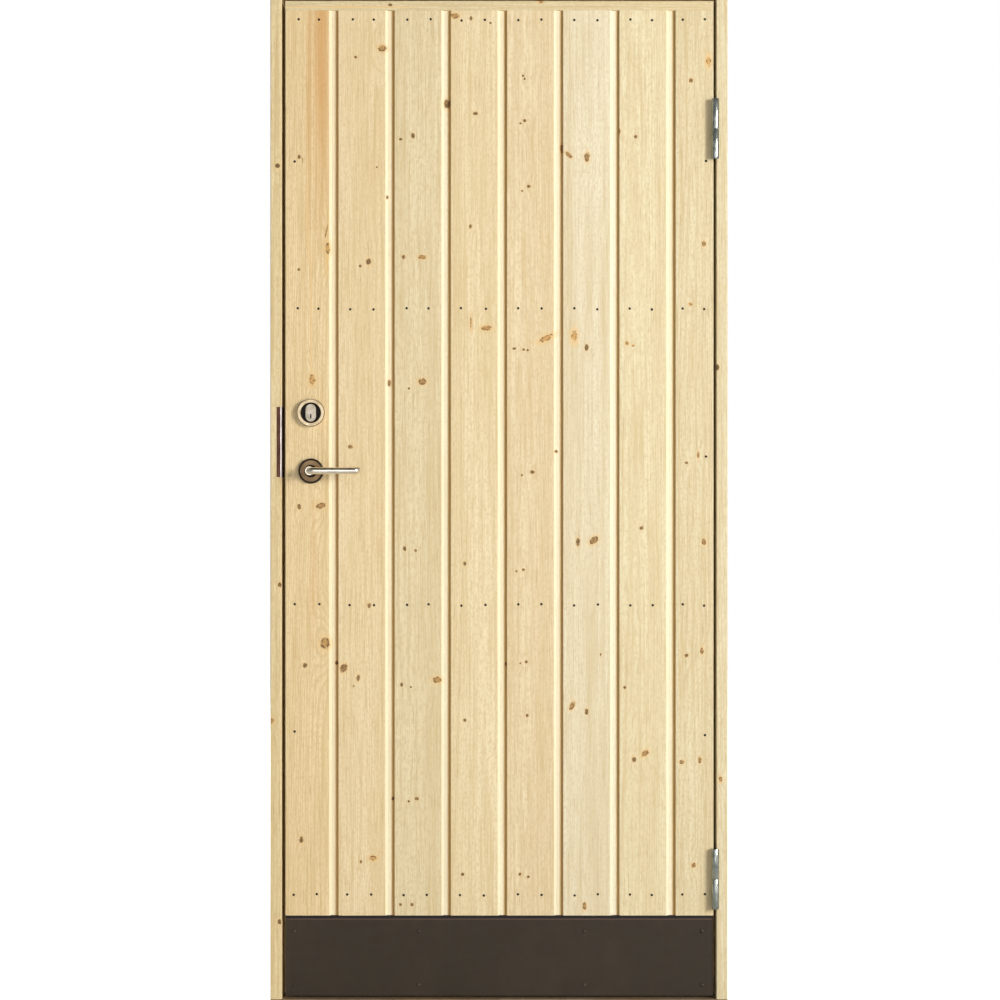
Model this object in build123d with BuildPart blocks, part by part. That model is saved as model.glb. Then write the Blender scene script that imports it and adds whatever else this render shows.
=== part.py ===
"""Shed door: an outward-opening board door hung in its own rebated frame.

Millimetres. X runs right as seen from outside, Y runs into the wall and Z is up.
The origin is the middle of the threshold's underside.
"""
import os
from math import cos, radians, sin

from build123d import *

os.makedirs("parts", exist_ok=True)

# Frame
frame_width = 885.0
frame_height = 1980.0
frame_depth = 92.0
jamb_face = 22.0
stop_width = 20.0
threshold_height = 21.0
threshold_stop_height = 20.0
frame_edge = 1.5

# Clearances of the leaf in the frame
lock_gap = 7.0
hinge_gap = 5.5
top_gap = 5.0
bottom_gap = 5.0
stop_clearance = 5.0

# Leaf
board_thickness = 17.0
leaf_frame_thickness = 33.0
stile_width = 95.0
rail_height = 95.0
bottom_rail_height = 240.0
rail_row_inset = 37.0
bottom_row_inset = 45.0
top_strip_height = 18.4
kick_height = 157.0
kick_recess = 7.5
kick_sheet = 1.0
kick_joint = 1.5
leaf_back_edge = 3.0

# Tongue-and-groove boards
board_count = 8
first_board_cover = 102.4
last_board_cover = 73.6
bevel_width = 4.8
channel_width = 13.0
channel_depth = 5.3
tongue_length = 7.0
tongue_thickness = 5.5
tongue_clearance = 0.3
board_shoulder_gap = 0.6
lip_edge = 0.8

# Hinges
hinge_half_height = 58.0
hinge_play = 0.3
barrel_radius = 7.0
barrel_stand_off = 8.5
pin_radius = 4.5
pin_clearance = 0.1
pin_length = 46.0
pin_bore_end_clearance = 1.0
flag_thickness = 2.5
flag_depth = 32.0
upper_hinge_drop = 249.0
lower_hinge_rise = 229.0

# Lock and its strike plate
backset = 50.0
lever_rise = 1017.0
cylinder_rise = 112.5
forend_thickness = 3.0
forend_width = 22.0
forend_height = 235.0
case_thickness = 15.0
case_depth = 78.0
case_height = 168.0
case_clearance = 0.5
latch_height = 34.0
latch_offset = -26.0
latch_slope = 9.0
dead_bolt_height = 30.0
dead_bolt_offset = 28.0
bolt_thickness = 13.0
bolt_length = 30.0
bolt_clearance = 1.5
strike_height = 136.0
strike_leg = 10.0
strike_thickness = 2.0
strike_bend = 3.0
strike_reveal_depth = 50.0
strike_pocket_depth = 12.0

# Cylinder
ring_radius = 26.5
ring_height = 10.0
ring_bore_radius = 19.0
ring_floor = 1.0
oval_height = 33.5
oval_width = 20.0
oval_clearance = 0.3
cylinder_sunk = 2.0
plug_radius = 6.6
plug_clearance = 0.1
plug_depth = 20.0
plug_proud = 0.6
keyway_width = 2.6
keyway_height = 9.0
keyway_depth = 5.0

# Lever handles and the thumb turn
rose_radius = 24.4
rose_height = 8.0
neck_radius = 8.0
neck_clearance = 0.3
neck_start = 1.0
grip_radius = 6.7
grip_stand_off = 48.0
grip_bend = 10.0
grip_straight = 73.0
grip_return_angle = 50.0
grip_return_lift = 20.0
grip_tip_length = 7.0
grip_tip_edge = 3.0
spindle_size = 8.0
spindle_socket = 18.0
spindle_hole_radius = 10.0
case_hub_radius = 8.0
thumb_stem_radius = 7.0
thumb_stem_length = 9.0
thumb_width = 34.0
thumb_thickness = 9.0
thumb_length = 14.0

# Places worked out from the dimensions above
front_y = -frame_depth / 2
back_y = frame_depth / 2
frame_right = frame_width / 2
frame_left = -frame_right
lock_reveal = frame_left + jamb_face
hinge_reveal = frame_right - jamb_face
stop_left = lock_reveal + stop_width
stop_right = hinge_reveal - stop_width
head_underside = frame_height - jamb_face
leaf_left = lock_reveal + lock_gap
leaf_right = hinge_reveal - hinge_gap
leaf_width = leaf_right - leaf_left
leaf_bottom = threshold_height + bottom_gap
leaf_top = head_underside - top_gap
board_back = front_y + board_thickness
leaf_back = board_back + leaf_frame_thickness
stop_face = leaf_back + stop_clearance
board_bottom = leaf_bottom + kick_height
board_top = leaf_top - top_strip_height
stile_left = leaf_left + stile_width
stile_right = leaf_right - stile_width

hinge_x = leaf_right + hinge_gap / 2
hinge_y = front_y - barrel_stand_off
upper_hinge_z = leaf_top - upper_hinge_drop
lower_hinge_z = leaf_bottom + lower_hinge_rise

lever_x = leaf_left + backset
lever_z = leaf_bottom + lever_rise
cylinder_z = lever_z + cylinder_rise
lock_z = (lever_z + cylinder_z) / 2
case_y = board_back + leaf_frame_thickness / 2
case_front = case_y - case_thickness / 2
case_back = case_y + case_thickness / 2
case_end = leaf_left + forend_thickness + case_depth
latch_z = lock_z + latch_offset
dead_bolt_z = lock_z + dead_bolt_offset
plug_z = cylinder_z - (oval_height - oval_width) / 2
cylinder_front = front_y - ring_height + cylinder_sunk


def block(x0, x1, y0, y1, z0, z1, mode=Mode.ADD):
    """A rectangular block between two corners."""
    with BuildSketch(Plane.XY.offset(z0)) as outline:
        with Locations(((x0 + x1) / 2, (y0 + y1) / 2)):
            Rectangle(x1 - x0, y1 - y0)
    extrude(outline.sketch, amount=z1 - z0, mode=mode)


def upright(points, z0, z1, mode=Mode.ADD):
    """A prism standing on a plan outline given by its corners."""
    with BuildSketch(Plane.XY.offset(z0)) as outline:
        with BuildLine():
            Polyline(*points, close=True)
        make_face()
    extrude(outline.sketch, amount=z1 - z0, mode=mode)


def into_wall(x, y, z):
    """A plane facing into the wall with its X to the right and its Y downwards."""
    return Plane(origin=(x, y, z), x_dir=(1, 0, 0), z_dir=(0, 1, 0))


def bore(x, z, radius, y0, y1, mode=Mode.SUBTRACT):
    """A round hole or boss running into the wall."""
    with BuildSketch(into_wall(x, y0, z)) as outline:
        Circle(radius)
    extrude(outline.sketch, amount=y1 - y0, mode=mode)


def oval(x, z, grow, y0, y1, mode=Mode.SUBTRACT):
    """The upright oval of the lock cylinder, grown by a clearance."""
    with BuildSketch(into_wall(x, y0, z)) as outline:
        SlotOverall(oval_height + 2 * grow, oval_width + 2 * grow, rotation=90)
    extrude(outline.sketch, amount=y1 - y0, mode=mode)


def post(x, y, radius, z0, z1, mode=Mode.ADD):
    """A round upright bar or hole."""
    with BuildSketch(Plane.XY.offset(z0)) as outline:
        with Locations((x, y)):
            Circle(radius)
    extrude(outline.sketch, amount=z1 - z0, mode=mode)


def save(solid, name):
    """Label a finished piece and write it out."""
    solid.label = name
    export_step(solid, f"parts/{name}.step")


# Jambs stand on the threshold and run to the top of the frame
def jamb_outline(outer, reveal, stop):
    """Rebated plan of a jamb, from its outer side to its stop."""
    side = 1 if reveal > outer else -1
    return (
        (outer + side * frame_edge, front_y),
        (reveal - side * frame_edge, front_y),
        (reveal, front_y + frame_edge),
        (reveal, stop_face),
        (stop - side * frame_edge, stop_face),
        (stop, stop_face + frame_edge),
        (stop, back_y - frame_edge),
        (stop - side * frame_edge, back_y),
        (outer, back_y),
        (outer, front_y + frame_edge),
    )


strike_z0 = lock_z - strike_height / 2
strike_z1 = lock_z + strike_height / 2
strike_back = front_y + strike_reveal_depth
bolt_y0 = case_y - bolt_thickness / 2
bolt_y1 = case_y + bolt_thickness / 2
bolt_spans = {
    "latch_bolt": (latch_z - latch_height / 2, latch_z + latch_height / 2),
    "dead_bolt": (dead_bolt_z - dead_bolt_height / 2, dead_bolt_z + dead_bolt_height / 2),
}


def bolt_pockets(x0, x1):
    """The holes that take the two bolts in the strike plate and the jamb behind it."""
    for z0, z1 in bolt_spans.values():
        block(
            x0,
            x1,
            bolt_y0 - bolt_clearance,
            bolt_y1 + bolt_clearance,
            z0 - bolt_clearance,
            z1 + bolt_clearance,
            Mode.SUBTRACT,
        )


def strike_angle(z0, z1, mode=Mode.ADD):
    """The bent plate of the strike, flush with the front and the reveal of the jamb."""
    with BuildSketch(Plane.XY.offset(z0)) as outline:
        with BuildLine():
            Polyline(
                (lock_reveal - strike_leg, front_y),
                (lock_reveal - strike_bend, front_y),
            )
            RadiusArc(
                (lock_reveal - strike_bend, front_y),
                (lock_reveal, front_y + strike_bend),
                -strike_bend,
            )
            Polyline(
                (lock_reveal, front_y + strike_bend),
                (lock_reveal, strike_back),
                (lock_reveal - strike_thickness, strike_back),
                (lock_reveal - strike_thickness, front_y + strike_bend),
                (lock_reveal - strike_bend, front_y + strike_thickness),
                (lock_reveal - strike_leg, front_y + strike_thickness),
                (lock_reveal - strike_leg, front_y),
            )
        make_face()
    extrude(outline.sketch, amount=z1 - z0, mode=mode)


with BuildPart() as lock_jamb:
    upright(jamb_outline(frame_left, lock_reveal, stop_left), threshold_height, frame_height)
    block(
        lock_reveal - strike_leg,
        lock_reveal,
        front_y,
        front_y + strike_thickness,
        strike_z0,
        strike_z1,
        Mode.SUBTRACT,
    )
    upright(
        (
            (lock_reveal, front_y),
            (lock_reveal, strike_back),
            (lock_reveal - strike_thickness, strike_back),
            (lock_reveal - strike_thickness, front_y + strike_bend),
            (lock_reveal - strike_bend, front_y + strike_thickness),
        ),
        strike_z0,
        strike_z1,
        Mode.SUBTRACT,
    )
    bolt_pockets(lock_reveal - strike_thickness - strike_pocket_depth, lock_reveal)
save(lock_jamb.part, "lock_jamb")

with BuildPart() as strike_plate:
    strike_angle(strike_z0, strike_z1)
    bolt_pockets(lock_reveal - strike_thickness, lock_reveal)
save(strike_plate.part, "strike_plate")

flag_back = front_y + flag_depth
hinge_spans = {"upper_hinge": upper_hinge_z, "lower_hinge": lower_hinge_z}

with BuildPart() as hinge_jamb:
    upright(jamb_outline(frame_right, hinge_reveal, stop_right), threshold_height, frame_height)
    for split in hinge_spans.values():
        block(
            hinge_reveal,
            hinge_reveal + flag_thickness,
            front_y,
            flag_back,
            split - hinge_half_height,
            split,
            Mode.SUBTRACT,
        )
save(hinge_jamb.part, "hinge_jamb")

# Head of the frame, let in between the jambs
with BuildPart() as frame_head:
    with BuildSketch(Plane.YZ.offset(lock_reveal)) as head_rebate:
        with BuildLine():
            Polyline(
                (front_y, frame_height - frame_edge),
                (front_y + frame_edge, frame_height),
                (stop_face, frame_height),
                (stop_face, head_underside),
                (front_y + frame_edge, head_underside),
                (front_y, head_underside + frame_edge),
                close=True,
            )
        make_face()
    extrude(head_rebate.sketch, amount=hinge_reveal - lock_reveal)
    with BuildSketch(Plane.YZ.offset(stop_left)) as head_stop:
        with BuildLine():
            Polyline(
                (stop_face, frame_height),
                (back_y, frame_height),
                (back_y, head_underside - stop_width + frame_edge),
                (back_y - frame_edge, head_underside - stop_width),
                (stop_face + frame_edge, head_underside - stop_width),
                (stop_face, head_underside - stop_width + frame_edge),
                close=True,
            )
        make_face()
    extrude(head_stop.sketch, amount=stop_right - stop_left)
save(frame_head.part, "frame_head")

# Threshold under the jambs, with a raised stop behind the leaf
with BuildPart() as threshold:
    block(frame_left, frame_right, front_y, back_y, 0, threshold_height)
    with BuildSketch(Plane.YZ.offset(stop_left)) as sill_stop:
        with BuildLine():
            Polyline(
                (stop_face, threshold_height),
                (stop_face, threshold_height + threshold_stop_height - frame_edge),
                (stop_face + frame_edge, threshold_height + threshold_stop_height),
                (back_y - 2 * frame_edge, threshold_height + threshold_stop_height),
                (back_y, threshold_height + threshold_stop_height - 2 * frame_edge),
                (back_y, threshold_height),
                close=True,
            )
        make_face()
    extrude(sill_stop.sketch, amount=stop_right - stop_left)
    sill_front = threshold.edges().filter_by(Axis.X).group_by(Axis.Y)[0].sort_by(Axis.Z)[-1]
    chamfer(sill_front, length=frame_edge)
save(threshold.part, "threshold")


# Hinge halves: the frame half carries the pin, the leaf half lifts off it
def hinge_flag(x0, x1, z0, z1):
    """The plate of a hinge half, let into the wood and running out to the barrel."""
    block(x0, x1, hinge_y, flag_back, z0, z1)


for hinge_name, split in hinge_spans.items():
    with BuildPart() as frame_half:
        post(hinge_x, hinge_y, barrel_radius, split - hinge_half_height, split - hinge_play / 2)
        hinge_flag(hinge_reveal, hinge_reveal + flag_thickness, split - hinge_half_height, split - hinge_play / 2)
        post(hinge_x, hinge_y, pin_radius, split - hinge_play / 2, split + pin_length)
    save(frame_half.part, f"{hinge_name}_frame_half")
    with BuildPart() as leaf_half:
        post(hinge_x, hinge_y, barrel_radius, split + hinge_play / 2, split + hinge_half_height)
        hinge_flag(leaf_right - flag_thickness, leaf_right, split + hinge_play / 2, split + hinge_half_height)
        post(
            hinge_x,
            hinge_y,
            pin_radius + pin_clearance,
            split,
            split + pin_length + pin_bore_end_clearance,
            Mode.SUBTRACT,
        )
    save(leaf_half.part, f"{hinge_name}_leaf_half")


def hinge_recesses():
    """Where the leaf halves of the hinges are let into the edge of the leaf."""
    for split in hinge_spans.values():
        block(
            leaf_right - flag_thickness,
            leaf_right,
            front_y,
            flag_back,
            split + hinge_play / 2,
            split + hinge_half_height,
            Mode.SUBTRACT,
        )


# Stiles of the leaf
with BuildPart() as lock_stile:
    upright(
        (
            (leaf_left, board_back),
            (stile_left, board_back),
            (stile_left, leaf_back),
            (leaf_left + leaf_back_edge, leaf_back),
            (leaf_left, leaf_back - leaf_back_edge),
        ),
        leaf_bottom,
        leaf_top,
    )
    block(
        leaf_left,
        leaf_left + forend_thickness,
        case_y - forend_width / 2,
        case_y + forend_width / 2,
        lock_z - forend_height / 2,
        lock_z + forend_height / 2,
        Mode.SUBTRACT,
    )
    block(
        leaf_left,
        case_end + case_clearance,
        case_front - case_clearance,
        case_back + case_clearance,
        lock_z - case_height / 2 - case_clearance,
        lock_z + case_height / 2 + case_clearance,
        Mode.SUBTRACT,
    )
    bore(lever_x, lever_z, spindle_hole_radius, board_back, leaf_back)
    oval(lever_x, cylinder_z, oval_clearance, board_back, case_y)
save(lock_stile.part, "lock_stile")

with BuildPart() as hinge_stile:
    block(stile_right, leaf_right, board_back, leaf_back, leaf_bottom, leaf_top)
    hinge_recesses()
save(hinge_stile.part, "hinge_stile")

# Rails between the stiles, one behind each row of nails
top_row = leaf_top - rail_row_inset
bottom_row = leaf_bottom + bottom_rail_height - bottom_row_inset
row_step = (top_row - bottom_row) / 3
rail_spans = {
    "top_rail": (leaf_top - rail_height, leaf_top),
    "upper_middle_rail": (top_row - row_step - rail_height / 2, top_row - row_step + rail_height / 2),
    "lower_middle_rail": (bottom_row + row_step - rail_height / 2, bottom_row + row_step + rail_height / 2),
    "bottom_rail": (leaf_bottom, leaf_bottom + bottom_rail_height),
}
for rail_name, (z0, z1) in rail_spans.items():
    with BuildPart() as rail:
        block(stile_left, stile_right, board_back, leaf_back, z0, z1)
    save(rail.part, rail_name)

# Boards, counted from the lock side; the first and the last are cut narrower to fill the leaf
board_pitch = (leaf_width - first_board_cover - last_board_cover) / (board_count - 2)
board_lefts = [leaf_left] + [leaf_left + first_board_cover + board_pitch * n for n in range(board_count - 1)]
board_rights = board_lefts[1:] + [leaf_right]
groove_front = channel_depth - tongue_clearance
groove_back = channel_depth + tongue_thickness + tongue_clearance
groove_depth = tongue_length + board_shoulder_gap


def board_outline(x0, x1, first, last):
    """Plan of one board: its lip and groove on the left, its bevel, channel and tongue on the right."""
    points = [(x0 + lip_edge, front_y), (x0, front_y + lip_edge)]
    if not first:
        points += [
            (x0, front_y + groove_front),
            (x0 + groove_depth, front_y + groove_front),
            (x0 + groove_depth, front_y + groove_back),
            (x0, front_y + groove_back),
        ]
    points += [(x0, board_back)]
    if last:
        points += [(x1, board_back), (x1, front_y + lip_edge), (x1 - lip_edge, front_y)]
    else:
        points += [
            (x1 - board_shoulder_gap, board_back),
            (x1 - board_shoulder_gap, front_y + channel_depth + tongue_thickness),
            (x1 + tongue_length, front_y + channel_depth + tongue_thickness),
            (x1 + tongue_length, front_y + channel_depth),
            (x1 - channel_width, front_y + channel_depth),
            (x1 - channel_width - bevel_width, front_y),
        ]
    return points


for number, (x0, x1) in enumerate(zip(board_lefts, board_rights), start=1):
    first = number == 1
    last = number == board_count
    with BuildPart() as board:
        upright(board_outline(x0, x1, first, last), board_bottom, board_top)
        if first:
            bore(lever_x, lever_z, spindle_hole_radius, front_y, board_back)
            oval(lever_x, cylinder_z, oval_clearance, front_y, board_back)
        if last:
            hinge_recesses()
    save(board.part, f"board_{number}")

with BuildPart() as top_strip:
    block(leaf_left, leaf_right, front_y, board_back, board_top, leaf_top)
    strip_edges = top_strip.edges().filter_by(Axis.X).group_by(Axis.Y)[0]
    chamfer(strip_edges, length=lip_edge)
save(top_strip.part, "top_strip")

# Kick plate on its backing board, set back behind the faces of the boards
kick_face = front_y + kick_recess
with BuildPart() as kick_backing:
    block(leaf_left, leaf_right, kick_face + kick_sheet, board_back, leaf_bottom, board_bottom)
save(kick_backing.part, "kick_backing")

with BuildPart() as kick_plate:
    block(leaf_left, leaf_right, kick_face, kick_face + kick_sheet, leaf_bottom, board_bottom - kick_joint)
save(kick_plate.part, "kick_plate")

# Mortise lock with its forend in the edge of the leaf
with BuildPart() as mortise_lock:
    block(
        leaf_left,
        leaf_left + forend_thickness,
        case_y - forend_width / 2,
        case_y + forend_width / 2,
        lock_z - forend_height / 2,
        lock_z + forend_height / 2,
    )
    block(
        leaf_left + forend_thickness,
        case_end,
        case_front,
        case_back,
        lock_z - case_height / 2,
        lock_z + case_height / 2,
    )
    for z0, z1 in bolt_spans.values():
        block(leaf_left, leaf_left + bolt_length, bolt_y0, bolt_y1, z0, z1, Mode.SUBTRACT)
    bore(lever_x, lever_z, case_hub_radius, case_front, case_back)
    oval(lever_x, cylinder_z, oval_clearance, case_front, case_y)
save(mortise_lock.part, "mortise_lock")

for bolt_name, (z0, z1) in bolt_spans.items():
    nose = latch_slope if bolt_name == "latch_bolt" else 0
    with BuildPart() as bolt:
        upright(
            (
                (leaf_left, bolt_y0),
                (leaf_left + nose, bolt_y1),
                (leaf_left + bolt_length, bolt_y1),
                (leaf_left + bolt_length, bolt_y0),
            ),
            z0,
            z1,
        )
    save(bolt.part, bolt_name)

# Cylinder ring, oval cylinder and key plug
with BuildPart() as cylinder_ring:
    bore(lever_x, cylinder_z, ring_radius, front_y - ring_height, front_y, Mode.ADD)
    bore(lever_x, cylinder_z, ring_bore_radius, front_y - ring_height, front_y - ring_floor)
    oval(lever_x, cylinder_z, oval_clearance, front_y - ring_floor, front_y)
save(cylinder_ring.part, "cylinder_ring")

with BuildPart() as lock_cylinder:
    oval(lever_x, cylinder_z, 0, cylinder_front, case_y, Mode.ADD)
    bore(lever_x, plug_z, plug_radius + plug_clearance, cylinder_front, cylinder_front + plug_depth + plug_clearance)
save(lock_cylinder.part, "lock_cylinder")

with BuildPart() as cylinder_plug:
    bore(lever_x, plug_z, plug_radius, cylinder_front - plug_proud, cylinder_front + plug_depth, Mode.ADD)
    block(
        lever_x - keyway_width / 2,
        lever_x + keyway_width / 2,
        cylinder_front - plug_proud,
        cylinder_front - plug_proud + keyway_depth,
        plug_z - keyway_height / 2,
        plug_z + keyway_height / 2,
        Mode.SUBTRACT,
    )
save(cylinder_plug.part, "cylinder_plug")


# Roses, levers and spindle; the same set on both faces of the leaf
def rose(z, face, out, hole=0):
    """A round rose on a face of the leaf; out is -1 towards the outside, +1 towards the inside."""
    rim = face + out * rose_height
    bore(lever_x, z, rose_radius, min(face, rim), max(face, rim), Mode.ADD)
    if hole:
        bore(lever_x, z, hole, min(face, rim), max(face, rim))


def lever(face, out):
    """A bent round-bar lever with its neck through the rose, pointing to the hinge side."""
    start = face + out * neck_start
    grip_y = face + out * grip_stand_off
    bend_y = grip_y - out * grip_bend
    bore(lever_x, lever_z, neck_radius, start, bend_y, Mode.ADD)
    with BuildSketch(Plane(origin=(lever_x, bend_y, lever_z), z_dir=(0, out, 0))) as neck_end:
        Circle(grip_radius)
    elbow = Axis((lever_x + grip_bend, bend_y, lever_z), (0, 0, -out))
    revolve(neck_end.sketch, axis=elbow, revolution_arc=90)
    with BuildSketch(Plane(origin=(lever_x + grip_bend, grip_y, lever_z), z_dir=(1, 0, 0))) as grip:
        Circle(grip_radius)
    extrude(grip.sketch, amount=grip_straight)
    return_x = lever_x + grip_bend + grip_straight
    with BuildSketch(Plane(origin=(return_x, grip_y, lever_z), z_dir=(1, 0, 0))) as grip_end:
        Circle(grip_radius)
    back = -out * cos(radians(grip_return_lift))
    lift = sin(radians(grip_return_lift))
    back_bend = Axis((return_x, grip_y + grip_bend * back, lever_z + grip_bend * lift), (0, -lift, back))
    revolve(grip_end.sketch, axis=back_bend, revolution_arc=grip_return_angle)
    tip = faces().sort_by(Axis.X)[-1]
    extrude(tip, amount=grip_tip_length)
    chamfer(faces().sort_by(Axis.X)[-1].edges(), length=grip_tip_edge)
    socket_end = start + out * spindle_socket
    block(
        lever_x - spindle_size / 2,
        lever_x + spindle_size / 2,
        min(start, socket_end),
        max(start, socket_end),
        lever_z - spindle_size / 2,
        lever_z + spindle_size / 2,
        Mode.SUBTRACT,
    )


with BuildPart() as lever_rose_outside:
    rose(lever_z, front_y, -1, neck_radius + neck_clearance)
save(lever_rose_outside.part, "lever_rose_outside")

with BuildPart() as lever_rose_inside:
    rose(lever_z, leaf_back, 1, neck_radius + neck_clearance)
save(lever_rose_inside.part, "lever_rose_inside")

with BuildPart() as lever_outside:
    lever(front_y, -1)
save(lever_outside.part, "lever_outside")

with BuildPart() as lever_inside:
    lever(leaf_back, 1)
save(lever_inside.part, "lever_inside")

with BuildPart() as spindle:
    block(
        lever_x - spindle_size / 2,
        lever_x + spindle_size / 2,
        front_y - neck_start - spindle_socket,
        leaf_back + neck_start + spindle_socket,
        lever_z - spindle_size / 2,
        lever_z + spindle_size / 2,
    )
save(spindle.part, "spindle")

with BuildPart() as thumb_turn_rose:
    rose(cylinder_z, leaf_back, 1)
save(thumb_turn_rose.part, "thumb_turn_rose")

thumb_y = leaf_back + rose_height + thumb_stem_length
with BuildPart() as thumb_turn:
    bore(lever_x, cylinder_z, thumb_stem_radius, leaf_back + rose_height, thumb_y, Mode.ADD)
    block(
        lever_x - thumb_thickness / 2,
        lever_x + thumb_thickness / 2,
        thumb_y,
        thumb_y + thumb_length,
        cylinder_z - thumb_width / 2,
        cylinder_z + thumb_width / 2,
    )
    fillet(thumb_turn.edges().group_by(Axis.Y)[-1], radius=2)
save(thumb_turn.part, "thumb_turn")
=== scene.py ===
"""Looks of the shed door: pine with its knots, nails, screws, metals, light and camera.

Lengths are metres in the CAD's frame; knots, streaks and nails are given in millimetres on the leaf.
"""

import math
import random

import bmesh
import bpy
import numpy as np
from mathutils import Matrix, Vector


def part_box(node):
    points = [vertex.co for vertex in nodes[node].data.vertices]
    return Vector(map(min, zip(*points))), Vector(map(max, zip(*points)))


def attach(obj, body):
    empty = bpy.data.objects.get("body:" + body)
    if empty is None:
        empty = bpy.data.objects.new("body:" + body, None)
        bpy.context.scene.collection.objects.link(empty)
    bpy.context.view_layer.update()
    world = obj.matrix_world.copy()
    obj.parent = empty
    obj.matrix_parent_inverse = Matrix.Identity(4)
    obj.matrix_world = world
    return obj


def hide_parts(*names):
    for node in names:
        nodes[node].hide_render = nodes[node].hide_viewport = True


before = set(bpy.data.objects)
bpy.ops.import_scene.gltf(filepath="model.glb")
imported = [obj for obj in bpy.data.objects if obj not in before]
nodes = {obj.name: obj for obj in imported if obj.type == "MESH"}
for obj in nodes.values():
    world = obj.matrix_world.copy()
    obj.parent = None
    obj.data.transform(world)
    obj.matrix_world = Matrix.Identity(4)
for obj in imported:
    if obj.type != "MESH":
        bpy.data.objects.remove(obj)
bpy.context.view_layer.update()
SEED = 20
random.seed(SEED)
scene = bpy.context.scene

# Axes that the grain and the cuts run along, and places read from the frame
ACROSS, UP = 0, 2
BOARDS = sorted((n for n in nodes if n.startswith("board_")), key=lambda n: int(n.split("_")[1]))
leaf_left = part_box(BOARDS[0])[0][0]
leaf_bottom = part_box("kick_plate")[0][2]
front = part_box(BOARDS[0])[0][1]
MM = 0.001

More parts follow.
